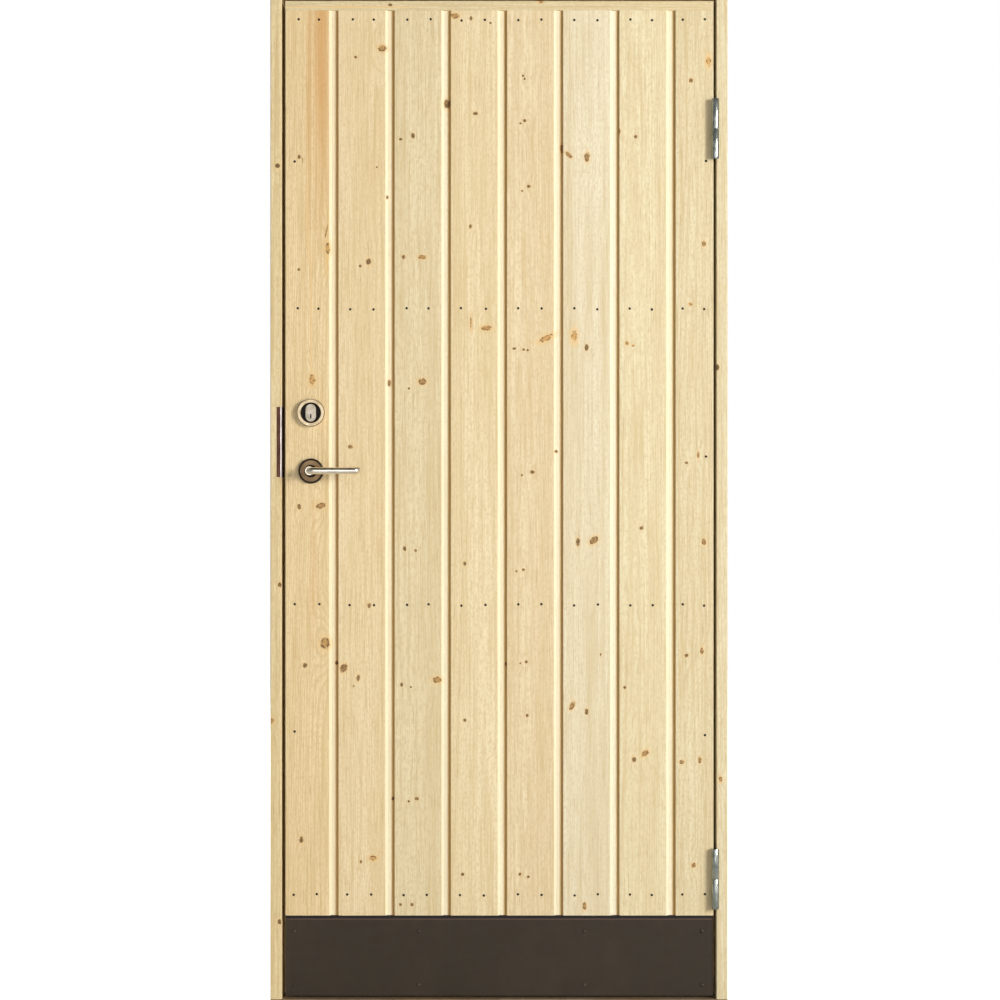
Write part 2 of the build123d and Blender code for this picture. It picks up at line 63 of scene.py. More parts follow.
# Knots by board: millimetres from the leaf's lock edge and its foot, width, height, tilt in degrees, darkness
KNOTS = {
    "board_1": (
        (27, 1625, 7, 9, 0, 0.7), (82, 1448, 12, 32, 0, 0.25), (80, 1482, 4, 34, -12, 0.5),
        (79, 1418, 5, 40, 0, 0.1), (26, 1407, 6, 6, 0, 0.7), (52, 1193, 15, 26, 0, 0.4),
        (27, 948, 8, 12, 0, 0.7), (69, 950, 22, 13, 15, 0.55), (77, 684, 22, 28, 0, 0.5),
        (38, 641, 10, 10, 0, 0.7), (31, 303, 9, 15, 0, 0.7), (43, 1490, 3, 120, 2, 0.1),
        (50, 1305, 3, 230, 0, 0.1), (99, 646, 7, 9, 0, 0.7),
    ),
    "board_2": (
        (187, 1835, 20, 15, 0, 0.5), (136, 1818, 7, 6, 0, 0.7), (177, 1605, 4, 4, 0, 0.8),
        (161, 1422, 11, 14, 0, 0.7), (145, 1414, 6, 6, 0, 0.7), (201, 1188, 8, 14, 0, 0.6),
        (126, 1064, 12, 8, 0, 0.6), (162, 757, 8, 11, 0, 0.7), (113, 636, 15, 21, -30, 0.6),
        (141, 617, 8, 15, 0, 0.6), (132, 601, 4, 4, 0, 0.8), (146, 261, 6, 7, 0, 0.7),
        (170, 268, 20, 13, 0, 0.3), (197, 1547, 5, 8, 0, 0.8), (208, 383, 6, 8, 0, 0.7),
    ),
    "board_3": (
        (223, 1659, 8, 5, 0, 0.7), (247, 1666, 8, 12, 0, 0.7), (313, 1728, 14, 20, 0, 0.7),
        (229, 1431, 8, 9, 0, 0.7), (265, 1431, 19, 10, 0, 0.55), (265, 1190, 19, 15, 0, 0.55),
        (239, 1177, 5, 5, 0, 0.8), (231, 867, 7, 12, 0, 0.7), (252, 863, 6, 6, 0, 0.7),
        (294, 613, 21, 15, 0, 0.5), (225, 604, 6, 10, 0, 0.7), (243, 599, 4, 4, 0, 0.8),
        (254, 383, 9, 8, 0, 0.7), (239, 378, 5, 5, 0, 0.8), (223, 178, 7, 7, 0, 0.7),
        (245, 178, 7, 7, 0, 0.7),
    ),
    "board_4": (
        (328, 1898, 22, 13, 0, 0.5), (359, 1893, 7, 9, 0, 0.7), (397, 1884, 5, 5, 0, 0.8),
        (368, 1709, 11, 7, 0, 0.7), (358, 1490, 7, 9, 0, 0.7), (389, 1294, 25, 12, 0, 0.5),
        (359, 1304, 4, 27, 0, 0.4), (347, 838, 7, 9, 0, 0.7), (347, 535, 7, 7, 0, 0.7),
        (343, 237, 7, 7, 0, 0.7), (428, 643, 7, 9, 0, 0.7),
    ),
    "board_5": (
        (460, 1782, 5, 5, 0, 0.8), (463, 1776, 5, 5, 0, 0.8), (463, 1695, 7, 7, 0, 0.7),
        (455, 1690, 5, 5, 0, 0.7), (471, 1568, 8, 8, 0, 0.7), (458, 1559, 5, 5, 0, 0.7),
        (505, 1274, 40, 14, 25, 0.35), (443, 1254, 8, 5, 0, 0.7), (461, 1252, 5, 5, 0, 0.8),
        (469, 1251, 5, 5, 0, 0.8), (458, 1009, 5, 5, 0, 0.7), (478, 1015, 11, 7, 0, 0.7),
        (524, 1055, 7, 7, 0, 0.7), (447, 823, 5, 5, 0, 0.7), (461, 826, 7, 7, 0, 0.7),
        (466, 648, 7, 7, 0, 0.7), (455, 645, 5, 5, 0, 0.7), (468, 544, 7, 7, 0, 0.7),
        (454, 237, 7, 7, 0, 0.7), (470, 232, 6, 6, 0, 0.7), (535, 1641, 8, 20, 0, 0.6),
    ),
    "board_6": (
        (548, 1629, 20, 9, -40, 0.6), (584, 1625, 12, 22, 0, 0.6), (559, 1278, 16, 32, 0, 0.25),
        (583, 1256, 9, 13, 0, 0.7), (566, 880, 9, 18, 0, 0.7), (597, 883, 23, 14, 40, 0.6),
        (555, 563, 11, 20, -30, 0.6), (583, 552, 8, 14, 0, 0.7), (610, 662, 4, 8, 0, 0.7),
        (579, 175, 9, 17, 0, 0.6),
    ),
    "board_7": (
        (644, 1674, 10, 14, 0, 0.7), (678, 1664, 7, 7, 0, 0.7), (661, 1264, 9, 9, 0, 0.55),
        (673, 1260, 6, 6, 0, 0.45), (689, 907, 8, 9, 0, 0.7), (635, 915, 11, 8, 0, 0.6),
        (657, 598, 7, 7, 0, 0.7), (696, 471, 20, 13, 45, 0.55), (675, 459, 9, 13, 0, 0.7),
    ),
    "board_8": (
        (785, 1773, 9, 11, 0, 0.7), (819, 1810, 13, 27, 0, 0.35), (810, 1457, 9, 14, 0, 0.6),
        (784, 1340, 9, 8, 0, 0.5), (799, 1048, 6, 17, 0, 0.6), (776, 1033, 7, 6, 0, 0.7),
        (810, 880, 10, 15, 0, 0.6), (806, 669, 8, 15, 0, 0.6), (776, 660, 10, 8, 0, 0.7),
        (802, 458, 8, 15, 0, 0.6), (767, 454, 12, 9, 0, 0.6), (790, 254, 10, 12, 0, 0.6),
    ),
    "lock_jamb": (
        (-15, 1608, 10, 10, 0, 0.8), (-26, 534, 10, 14, 0, 0.5), (-11, 797, 8, 11, 0, 0.7),
        (-11, 145, 9, 11, 0, 0.7),
    ),
    "hinge_jamb": (
        (836, 1218, 8, 12, 0, 0.8), (842, 420, 9, 14, 0, 0.5),
    ),
    "top_strip": (
        (203, 1919, 9, 6, 0, 0.8), (113, 1915, 225, 4, 0, 0.1), (494, 1925, 12, 7, 0, 0.5),
    ),
}
# Resin streaks in the same coordinates: middle, width, height, strength
STREAKS = {
    "board_1": ((70, 1880, 30, 900, 0.72), (45, 1800, 7, 760, 0.6), (54, 830, 7, 420, 0.4)),
    "board_4": ((359, 1304, 7, 60, 0.4),),
}
# Nails: the columns that all rows share on boards 5 to 8, the rows by their height with their own columns
# on boards 1 to 4, and single nails in the stiles
NAIL_RIGHT = (451, 496, 559, 604, 667, 710, 769, 811)
NAIL_ROWS = {
    1890: (26, 66, 130, 172, 236, 282, 340, 386), 1331: (25, 65, 125, 171, 235, 278, 340, 388),
    758: (19, 65, 124, 172, 235, 278, 340, 388), 197: (16, 60, 120, 167, 229, 274, 338, 385),
}
STILE_NAILS = ((814, 1617), (814, 1045), (812, 506), (18, 1616), (18, 513))


# Small helpers for shader nodes
class Tree:
    """A material's node tree with short calls for the nodes used here."""

    def __init__(self, name):
        self.material = bpy.data.materials.new(name)
        self.material.use_nodes = True
        self.tree = self.material.node_tree
        self.shader = self.tree.nodes["Principled BSDF"]

    def add(self, kind, **inputs):
        node = self.tree.nodes.new(kind)
        for key, value in inputs.items():
            self.put(node.inputs[key.replace("_", " ")], value)
        return node

    def put(self, socket, value):
        if isinstance(value, bpy.types.NodeSocket):
            self.tree.links.new(value, socket)
        else:
            socket.default_value = value

    def math(self, operation, a, b=0.0, c=0.0, clamp=False):
        node = self.tree.nodes.new("ShaderNodeMath")
        node.operation = operation
        node.use_clamp = clamp
        for socket, value in zip(node.inputs, (a, b, c)):
            self.put(socket, value)
        return node.outputs[0]

    def vector(self, operation, a, b=(0, 0, 0)):
        node = self.tree.nodes.new("ShaderNodeVectorMath")
        node.operation = operation
        self.put(node.inputs[0], a)
        self.put(node.inputs[1], b)
        return node.outputs["Value" if operation == "LENGTH" else "Vector"]

    def noise(self, place, scale, detail=3.0, rough=0.5):
        node = self.add("ShaderNodeTexNoise", Vector=place, Scale=scale, Detail=detail, Roughness=rough)
        return node.outputs["Fac"]

    def steps(self, value, low, high, out_low=0.0, out_high=1.0):
        node = self.tree.nodes.new("ShaderNodeMapRange")
        node.interpolation_type = "SMOOTHSTEP"
        for key, number in (
            ("Value", value), ("From Min", low), ("From Max", high), ("To Min", out_low), ("To Max", out_high)
        ):
            self.put(node.inputs[key], number)
        return node.outputs["Result"]

    def mix(self, amount, a, b, blend="MIX"):
        node = self.tree.nodes.new("ShaderNodeMix")
        node.data_type = "RGBA"
        node.blend_type = blend
        self.put(node.inputs["Factor"], amount)
        self.put(node.inputs[6], a)
        self.put(node.inputs[7], b)
        return node.outputs[2]

    def z_of(self, vector):
        node = self.tree.nodes.new("ShaderNodeSeparateXYZ")
        self.put(node.inputs[0], vector)
        return node.outputs["Z"]

    def attribute(self, name, output="Fac"):
        node = self.tree.nodes.new("ShaderNodeAttribute")
        node.attribute_name = name
        return node.outputs[output]

    def place(self, scale=(1, 1, 1), shift=(0, 0, 0)):
        spot = self.tree.nodes.new("ShaderNodeTexCoord").outputs["Object"]
        return self.vector("MULTIPLY", self.vector("ADD", spot, shift), scale)

    def bump(self, height, distance, strength=1.0):
        node = self.add("ShaderNodeBump", Height=height, Distance=distance, Strength=strength)
        self.put(self.shader.inputs["Normal"], node.outputs["Normal"])


def linear(r, g, b):
    """A colour read in sRGB steps, as Blender's linear colour."""
    def one(c):
        c /= 255
        return c / 12.92 if c <= 0.04045 else ((c + 0.055) / 1.055) ** 2.4
    return (one(r), one(g), one(b), 1.0)


# Pine: growth rings about a pith line, streaks along the grain, knots and resin
RESIN = linear(206, 152, 84)
# Painted shade: a warm dark tint multiplied into each board's channel, where the next board's lip casts its
# shadow
GROOVE_SHADE = linear(214, 178, 116)
FRESH_CUT = linear(244, 240, 216)
KNOT_HALO = linear(230, 193, 132)
KNOT_HEART = linear(206, 156, 90)
KNOT_DARK = linear(78, 49, 18)
KNOT_RIM = linear(88, 55, 22)
# Knots: distances in radii of the knot, noise scales per metre; one as pale as a streak has a halo only
KNOT_LAYERS = 3
STREAK_DARKNESS = 0.1
KNOT_CELL = (3.0, 2.4)
KNOT_UNEVEN_SCALE = 330.0
KNOT_UNEVEN = 0.75
HALO_REACH = (1.7, 0.7)
HALO_STRENGTH = 0.65
CORE_LEAST = 0.4
CORE_GROWTH = 0.5
CORE_SOFT = 0.2
CORE_STRENGTH = 0.87
SHADE_GAIN = 2.6
SHADE_OFFSET = -0.95
FLECK_SCALE = 260.0
FLECK_GAIN = 1.3
RIM_WIDTH = (0.26, 0.04)
RIM_SCALE = 150.0
RIM_BREAKS = (0.4, 0.58, 0.0, 0.85)
# Rings: metres from one to the next, and where in its step a ring darkens and ends
RING_STEP = 0.0031
RING_WOBBLE = 1.8
LATE_RISE = (0.3, 0.9)
LATE_FALL = (1.0, 0.92)
# Grain: factor on the coordinate along it, noise scales per metre, tints of the wood
GRAIN_STRETCH = 0.03
CLOUD_STRETCH = 0.5
WOBBLE_SCALE = 45.0
STREAK_SCALE = 150.0
BROAD_SCALE = 24.0
CLOUD_SCALE = 260.0
PORE_SCALE = 650.0
LATE_TINT = (0.82, 0.73, 0.6, 1.0)
STREAK_TINT = (0.81, 0.73, 0.59, 1.0)
PORE_TINT = (0.66, 0.55, 0.38, 1.0)
# Ranges of the noise, and the strengths or roughness that they are turned into
STREAK_STEPS = (0.42, 0.72, 0.0, 0.85)
BROAD_STEPS = (0.4, 0.75, 0.0, 0.45)
CLOUD_STEPS = (0.42, 0.68, 0.0, 0.62)
PORE_STEPS = (0.52, 0.74, 0.0, 0.62)
PINE_ROUGHNESS = (0.3, 0.8, 0.52, 0.68)
# Gloss, the pale fresh cut, and the shares of the bump with its depth in metres
PINE_SPECULAR = 0.3
FRESH_STRENGTH = 0.45
LATE_HEIGHT = 0.6
PORE_HEIGHT = 0.5
CORE_HEIGHT = 0.5
GRAIN_RELIEF = 0.00025


def knot_layer(t, colour, number):
    """Lay one layer of knots over the wood's colour; gives back the new colour and the cores."""
    spot = t.attribute(f"knot_{number}", "Vector")
    flat = t.vector("MULTIPLY", spot, (1, 1, 0))
    dark = t.z_of(spot)
    uneven = t.math("SUBTRACT", t.noise(t.place(), KNOT_UNEVEN_SCALE, 3.0), 0.5)
    reach = t.math("MULTIPLY_ADD", uneven, KNOT_UNEVEN, t.vector("LENGTH", flat))
    guard = t.math("MULTIPLY", t.steps(t.attribute(f"away_{number}"), *KNOT_CELL), t.attribute("broad_side"))
    halo = t.math("MULTIPLY", t.steps(reach, *HALO_REACH, 0.0, HALO_STRENGTH), guard)
    colour = t.mix(halo, colour, KNOT_HALO)
    edge = t.math("SUBTRACT", reach, t.math("MULTIPLY_ADD", dark, CORE_GROWTH, CORE_LEAST))
    guard = t.math("MULTIPLY", guard, t.steps(dark, STREAK_DARKNESS, 2 * STREAK_DARKNESS))
    core = t.math("MULTIPLY", t.steps(edge, CORE_SOFT, -CORE_SOFT), guard)
    fleck = t.noise(t.place((1, 1, 0.6)), FLECK_SCALE, 2.0)
    shade = t.math("MULTIPLY_ADD", dark, SHADE_GAIN, SHADE_OFFSET)
    flecks = t.math("MULTIPLY_ADD", fleck, FLECK_GAIN, -FLECK_GAIN / 2)
    shade = t.math("ADD", shade, flecks, clamp=True)
    colour = t.mix(t.math("MULTIPLY", core, CORE_STRENGTH), colour, t.mix(shade, KNOT_HEART, KNOT_DARK))
    rim = t.math("MULTIPLY", t.steps(t.math("ABSOLUTE", edge), *RIM_WIDTH), guard)
    broken = t.steps(t.noise(t.place(), RIM_SCALE, 2.0), *RIM_BREAKS)
    return t.mix(t.math("MULTIPLY", rim, broken), colour, KNOT_RIM), core


def pine(name, along, early, rings, shift):
    """Pine with its grain along one axis; its net carries the rings, the knots, the resin and the painted
    shade in the grooves.
    """
    t = Tree(name)
    stretch = [1.0, 1.0, 1.0]
    stretch[along] = GRAIN_STRETCH
    fine = t.place(stretch, shift)
    late_wood = tuple(c * k for c, k in zip(early, LATE_TINT))
    streak_wood = tuple(c * k for c, k in zip(early, STREAK_TINT))
    pore_wood = tuple(c * k for c, k in zip(early, PORE_TINT))
    wobble = t.noise(fine, WOBBLE_SCALE, 3.0)
    turns = t.math("DIVIDE", t.attribute("ring"), RING_STEP)
    phase = t.math("FRACT", t.math("MULTIPLY_ADD", wobble, RING_WOBBLE, turns))
    late = t.math("MULTIPLY", t.steps(phase, *LATE_RISE), t.steps(phase, *LATE_FALL))
    streak = t.noise(fine, STREAK_SCALE, 5.0, 0.62)
    broad = t.noise(fine, BROAD_SCALE, 2.0)
    drawn = (1, 1, CLOUD_STRETCH) if along == UP else (CLOUD_STRETCH, 1, 1)
    cloud = t.noise(t.place(drawn, shift), CLOUD_SCALE, 3.0, 0.6)
    colour = t.mix(t.math("MULTIPLY", late, rings), early, late_wood)
    colour = t.mix(t.steps(streak, *STREAK_STEPS), colour, streak_wood)
    colour = t.mix(t.steps(broad, *BROAD_STEPS), colour, streak_wood)
    colour = t.mix(t.steps(cloud, *CLOUD_STEPS), colour, late_wood)
    pores = t.noise(fine, PORE_SCALE, 3.0)
    colour = t.mix(t.steps(pores, *PORE_STEPS), colour, pore_wood)
    colour = t.mix(t.attribute("stain"), colour, RESIN)
    grain = t.math("ADD", t.math("MULTIPLY", late, LATE_HEIGHT), t.math("MULTIPLY", pores, PORE_HEIGHT))
    colour = t.mix(t.math("MULTIPLY", t.attribute("fresh"), FRESH_STRENGTH), colour, FRESH_CUT)
    for number in range(KNOT_LAYERS):
        colour, core = knot_layer(t, colour, number)
        grain = t.math("ADD", grain, t.math("MULTIPLY", core, CORE_HEIGHT))
    # Painted shade multiplied into the channel beside the next board's lip
    colour = t.mix(t.attribute("groove_shade"), colour, GROOVE_SHADE, "MULTIPLY")
    t.put(t.shader.inputs["Base Color"], colour)
    t.put(t.shader.inputs["Roughness"], t.steps(streak, *PINE_ROUGHNESS))
    t.shader.inputs["Specular IOR Level"].default_value = PINE_SPECULAR
    t.bump(grain, GRAIN_RELIEF, 0.6)
    return t.material


# Metals, paint and hardwood: noise scales per metre, relief in metres
DRAWN_STRETCH = 0.05
DRAWN_SCALE = 1400.0
SCRATCH_SCALE = 400.0
MOTTLE_SCALE = 60.0
METAL_RELIEF = 0.00004
PEEL_SCALE = 900.0
DUST_SCALE = 14.0
RUB_SCALE = 90.0
PEEL_RELIEF = 0.0001
PAINT_SPECULAR = 0.4
HARDWOOD = linear(150, 128, 98)
HARDWOOD_DARK = linear(112, 90, 64)
HARDWOOD_PORE = linear(70, 52, 36)
HARDWOOD_WORN = linear(150, 140, 122)
HARDWOOD_PORE_SCALE = 900.0
HARDWOOD_STREAK_SCALE = 90.0
HARDWOOD_WEAR_SCALE = 9.0
HARDWOOD_RELIEF = 0.0003
# Painted shadow along the kick plate's top edge, cast by the boards' overhanging ends: a painted highlight
# line, then the painted black shadow band, in metres from its height
OVERHANG_HIGHLIGHT = linear(84, 62, 52)
OVERHANG_SHADOW = linear(14, 10, 7)
OVERHANG_SHADOW_WAVES = 40.0
OVERHANG_SHADOW_WAVE_HEIGHT = 0.0016
OVERHANG_HIGHLIGHT_LINE = (-0.0022, -0.0012)
OVERHANG_SHADOW_BLEND = 0.0008


def metal(name, colour, dark, roughness, grain_axis=UP, metallic=1.0, spread=0.12):
    """A plated or coated metal with drawn lines, blotches and fine scratches."""
    t = Tree(name)
    stretch = [1.0, 1.0, 1.0]
    stretch[grain_axis] = DRAWN_STRETCH
    lines = t.noise(t.place(stretch), DRAWN_SCALE, 2.0)
    blotch = t.noise(t.place(), MOTTLE_SCALE, 4.0, 0.6)
    scratch = t.noise(t.place(stretch), SCRATCH_SCALE, 5.0, 0.7)
    amount = t.math("ADD", t.math("MULTIPLY", blotch, 0.7), t.math("MULTIPLY", lines, 0.3))
    t.put(t.shader.inputs["Base Color"], t.mix(t.steps(amount, 0.35, 0.7), colour, dark))
    low, high = roughness - spread / 2, roughness + spread
    t.put(t.shader.inputs["Roughness"], t.steps(scratch, 0.3, 0.8, low, high))
    t.shader.inputs["Metallic"].default_value = metallic
    t.bump(t.math("ADD", lines, t.math("MULTIPLY", blotch, 0.5)), METAL_RELIEF, 0.35)
    return t.material


def painted(name, colour, worn, roughness, shadow_line=None):
    """A coated sheet with orange peel, dust and rubbed patches; above the given height it has a painted black
    shadow band, with a painted highlight line below it.
    """
    t = Tree(name)
    peel = t.noise(t.place(), PEEL_SCALE, 2.0)
    dust = t.noise(t.place((1, 1, 0.4)), DUST_SCALE, 6.0, 0.65)
    rub = t.noise(t.place((0.25, 1, 1)), RUB_SCALE, 5.0, 0.7)
    amount = t.math("ADD", t.steps(dust, 0.4, 0.75, 0.0, 0.5), t.steps(rub, 0.55, 0.8, 0.0, 0.35))
    shade = t.mix(amount, colour, worn)
    # Painted shadow of the boards' overhanging ends, wavy where the grooves let light through, with a painted
    # highlight line below it
    if shadow_line:
        waves = t.noise(t.place((1, 1, 0)), OVERHANG_SHADOW_WAVES, 3.0)
        above = t.math("SUBTRACT", t.z_of(t.place()), shadow_line)
        rise = t.math("MULTIPLY_ADD", waves, OVERHANG_SHADOW_WAVE_HEIGHT, above)
        shade = t.mix(t.steps(rise, *OVERHANG_HIGHLIGHT_LINE), shade, OVERHANG_HIGHLIGHT)
        shade = t.mix(t.steps(rise, 0.0, OVERHANG_SHADOW_BLEND), shade, OVERHANG_SHADOW)
    t.put(t.shader.inputs["Base Color"], shade)
    t.put(t.shader.inputs["Roughness"], t.steps(rub, 0.3, 0.8, roughness, roughness + 0.18))
    t.shader.inputs["Specular IOR Level"].default_value = PAINT_SPECULAR
    t.bump(t.math("ADD", peel, t.math("MULTIPLY", dust, 0.4)), PEEL_RELIEF, 0.3)
    return t.material


def hardwood(name):
    """Oiled, worn wood with its grain across the door, for the threshold and the kick plate's backing."""
    t = Tree(name)
    fine = t.place((DRAWN_STRETCH, 1.0, 1.0))
    pores = t.noise(fine, HARDWOOD_PORE_SCALE, 3.0)
    streak = t.noise(fine, HARDWOOD_STREAK_SCALE, 5.0, 0.6)
    worn = t.noise(t.place(), HARDWOOD_WEAR_SCALE, 5.0, 0.65)
    colour = t.mix(t.steps(streak, 0.3, 0.7), HARDWOOD, HARDWOOD_DARK)
    colour = t.mix(t.steps(pores, 0.55, 0.75, 0.0, 0.7), colour, HARDWOOD_PORE)
    colour = t.mix(t.steps(worn, 0.45, 0.75, 0.0, 0.4), colour, HARDWOOD_WORN)
    t.put(t.shader.inputs["Base Color"], colour)
    t.put(t.shader.inputs["Roughness"], t.steps(streak, 0.3, 0.8, 0.5, 0.7))
    t.bump(t.math("ADD", streak, pores), HARDWOOD_RELIEF, 0.5)
    return t.material


SAME_POINT = 1e-6
HARD_EDGE = math.radians(35)


def dress(name, material):
    """Give a CAD node its material."""
    mesh = nodes[name].data
    mesh.materials.clear()
    mesh.materials.append(material)


def soften(name, width, segments=2, edge_material=None):
    """Round a CAD node's hard edges a little, as rolled, cast or sanded edges are."""
    weld = nodes[name].modifiers.new("joined_corners", "WELD")
    weld.merge_threshold = SAME_POINT
    bevel = nodes[name].modifiers.new("eased_edges", "BEVEL")
    bevel.width = width
    bevel.segments = segments
    bevel.limit_method = "ANGLE"
    bevel.angle_limit = HARD_EDGE
    bevel.harden_normals = False
    if edge_material:
        nodes[name].data.materials.append(edge_material)
        bevel.material = len(nodes[name].data.materials) - 1


# Pine pieces: the CAD solids cut into a fine net, which carries the rings, the knots and the streaks
NET_ALONG = 0.009
NET_ACROSS = 0.005
FLAT_ANGLE = 0.001


def netted(name, along):
    """A copy of a CAD piece cut by regular planes along and across its length."""
    low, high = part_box(name)
    net = bmesh.new()
    net.from_mesh(nodes[name].data)
    bmesh.ops.remove_doubles(net, verts=net.verts, dist=SAME_POINT)
    bmesh.ops.dissolve_limit(net, angle_limit=FLAT_ANGLE, verts=net.verts, edges=net.edges)
    for axis in (ACROSS, UP):
        step = NET_ALONG if axis == along else NET_ACROSS
        count = max(2, int((high[axis] - low[axis]) / step))
        normal = Vector((axis == ACROSS, 0, axis == UP))
        for k in range(1, count):
            spot = Vector((0, 0, 0))
            spot[axis] = low[axis] + (high[axis] - low[axis]) * k / count
            whole = net.verts[:] + net.edges[:] + net.faces[:]
            bmesh.ops.bisect_plane(net, geom=whole, plane_co=spot, plane_no=normal)
    mesh = bpy.data.meshes.new(name + "_wood")
    net.to_mesh(mesh)
    net.free()
    return mesh


# Fields on the nets: lengths in millimetres, knots' reach in their own radii
NO_NEIGHBOUR = 99
FAR_AWAY = 1e6
OUTSIDE = 50.0
LONG_KNOT = 5
SWELL = 1.1
SWELL_ACROSS = 1.7
SWELL_ALONG = 5.0
PITH_WAVELENGTH = 310
PITH_DIVE = 0.004
STREAK_FADE = 1.4
CHANNEL_DEPTH = (4, 7)
BEVEL_SLANT = 0.3
CHANNEL_FLAT = 0.9
BROAD_NORMAL = 0.5
# Painted shade in a board's channel: how far it reaches from the next board's lip, its blend, and the depth
# past which it lies, in millimetres
GROOVE_SHADE_REACH = 7.0
GROOVE_SHADE_BLEND = 4
GROOVE_SHADE_DEPTH = 2


def room_for(knot, layer):
    """How far a knot lies from the nearest one in a layer, measured by their sizes."""
    gaps = (math.hypot(knot[0] - k[0], knot[1] - k[1]) / (max(knot[2:4]) + max(k[2:4])) for k in layer)
    return min(gaps, default=NO_NEIGHBOUR)


def sorted_knots(knots):
    """Share the knots out over the layers, so that close neighbours seldom lie in one layer."""
    layers = [[] for _ in range(KNOT_LAYERS)]
    for knot in knots:
        max(layers, key=lambda layer: room_for(knot, layer)).append(knot)
    return layers


def in_groove(spot, normal):
    """Whether a face is the bevel or the floor of a board's channel, planed last and still pale."""
    depth = (spot[1] - front) / MM
    bevel = normal[0] > BEVEL_SLANT and normal[1] < -BEVEL_SLANT
    return bevel or (normal[1] < -CHANNEL_FLAT and CHANNEL_DEPTH[0] < depth < CHANNEL_DEPTH[1])


def wood_fields(mesh, along, pith, knots, streaks, groove):
    """Ring radius, knots, resin and painted groove shade at each point of a piece's net."""
    points = np.empty(len(mesh.vertices) * 3)
    mesh.vertices.foreach_get("co", points)
    points = points.reshape(-1, 3)
    u = (points[:, 0] - leaf_left) / MM
    v = (points[:, 2] - leaf_bottom) / MM
    depth = (points[:, 1] - front) / MM
    across, run = (u, v) if along == UP else (v, u)
    middle, below, lean, wave = pith
    sway = middle + lean * (run - run.mean()) + wave * np.sin(run / PITH_WAVELENGTH + middle)
    ring = np.hypot(across - sway, depth + below + PITH_DIVE * run)
    for number, layer in enumerate(sorted_knots(knots)):
        best = np.full(len(u), FAR_AWAY)
        local = np.full((len(u), 3), OUTSIDE)
        for ku, kv, width, height, tilt, darkness in layer:
            turn = math.radians(tilt)
            du, dv = u - ku, v - kv
            a = (du * math.cos(turn) + dv * math.sin(turn)) / (width / 2)
            b = (-du * math.sin(turn) + dv * math.cos(turn)) / (height / 2)
            away = np.hypot(a, b)
            closer = away < best
            best[closer] = away[closer]
            local[closer] = np.stack((a, b, np.full(len(u), darkness)), 1)[closer]
            if max(width, height) < LONG_KNOT * min(width, height):
                size = math.sqrt(width * height) / 2
                dc, dr = (du, dv) if along == UP else (dv, du)
                near = np.exp(-((dc / (SWELL_ACROSS * size)) ** 2) - (dr / (SWELL_ALONG * size)) ** 2)
                ring = ring + SWELL * size * near
        mesh.attributes.new(f"away_{number}", "FLOAT", "POINT").data.foreach_set("value", best)
        spots = mesh.attributes.new(f"knot_{number}", "FLOAT_VECTOR", "POINT")
        spots.data.foreach_set("vector", local.ravel())
    stain = np.zeros(len(u))
    for su, sv, width, height, strength in streaks:
        a, b = (u - su) / (width / 2), (v - sv) / (height / 2)
        ends = np.clip(STREAK_FADE - np.abs(b) * STREAK_FADE, 0, 1)
        stain = np.maximum(stain, strength * np.exp(-(a ** 2)) * ends)
    # Painted shade in the channel beside the next board's lip, where that lip's shadow falls
    groove_shade = np.zeros(len(u))
    if groove is not None:
        groove_shade = np.clip((u - groove + GROOVE_SHADE_REACH) / GROOVE_SHADE_BLEND, 0, 1) * (depth > GROOVE_SHADE_DEPTH)
    for key, values in (("ring", ring * MM), ("stain", stain), ("groove_shade", groove_shade)):
        mesh.attributes.new(key, "FLOAT", "POINT").data.foreach_set("value", values)
    fresh = [groove is not None and in_groove(face.center, face.normal) for face in mesh.polygons]
    mesh.attributes.new("fresh", "FLOAT", "FACE").data.foreach_set("value", fresh)
    broad_side = [abs(face.normal[1]) > BROAD_NORMAL for face in mesh.polygons]
    mesh.attributes.new("broad_side", "FLOAT", "FACE").data.foreach_set("value", broad_side)


# Ranges that chance draws from: the pith's place in millimetres, the shift of the grain in metres
PITH_ASIDE = (-45, 45)
PITH_BELOW = (18, 70)
PITH_LEAN = (-0.02, 0.02)
PITH_WAVE = (2, 7)
GRAIN_SHIFT = (-3, 3)
# Knots that the photograph doesn't show: places in metres, width in millimetres
FIRST_KNOT = (0.05, 0.2)
KNOT_SPACING = (0.12, 0.36)
KNOT_INSET = 0.012
KNOT_END = 0.03
KNOT_SIZE = (6, 18)
KNOT_TALLNESS = (0.7, 1.3)
KNOT_DARKNESS = (0.4, 0.75)


def plank(name, along, early, rings, knots, body, groove=None):
    """Put a netted piece of pine in the place of a CAD piece."""
    low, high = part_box(name)
    side = ACROSS if along == UP else UP
    origin = leaf_left if along == UP else leaf_bottom
    middle = ((low[side] + high[side]) / 2 - origin) / MM
    pith = (
        middle + random.uniform(*PITH_ASIDE), random.uniform(*PITH_BELOW),
        random.uniform(*PITH_LEAN), random.uniform(*PITH_WAVE),
    )
    mesh = netted(name, along)
    wood_fields(mesh, along, pith, knots, STREAKS.get(name, ()), groove)
    shift = tuple(random.uniform(*GRAIN_SHIFT) for _ in range(3))
    mesh.materials.append(pine(f"pine_{name}", along, early, rings, shift))
    piece = bpy.data.objects.new(name + "_wood", mesh)
    scene.collection.objects.link(piece)
    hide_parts(name)
    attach(piece, body)


def chance_knots(name, along):
    """A few knots for a piece whose own knots the photograph doesn't show."""
    low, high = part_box(name)
    knots = []
    side = ACROSS if along == UP else UP
    spot = low[along] + random.uniform(*FIRST_KNOT)
    while spot < high[along] - KNOT_END:
        aside = random.uniform(low[side] + KNOT_INSET, high[side] - KNOT_INSET)
        u, v = (aside, spot) if along == UP else (spot, aside)
        size = random.uniform(*KNOT_SIZE)
        tall = size * random.uniform(*KNOT_TALLNESS)
        darkness = random.uniform(*KNOT_DARKNESS)
        knots.append(((u - leaf_left) / MM, (v - leaf_bottom) / MM, size, tall, 0, darkness))
        spot += random.uniform(*KNOT_SPACING)
    return knots


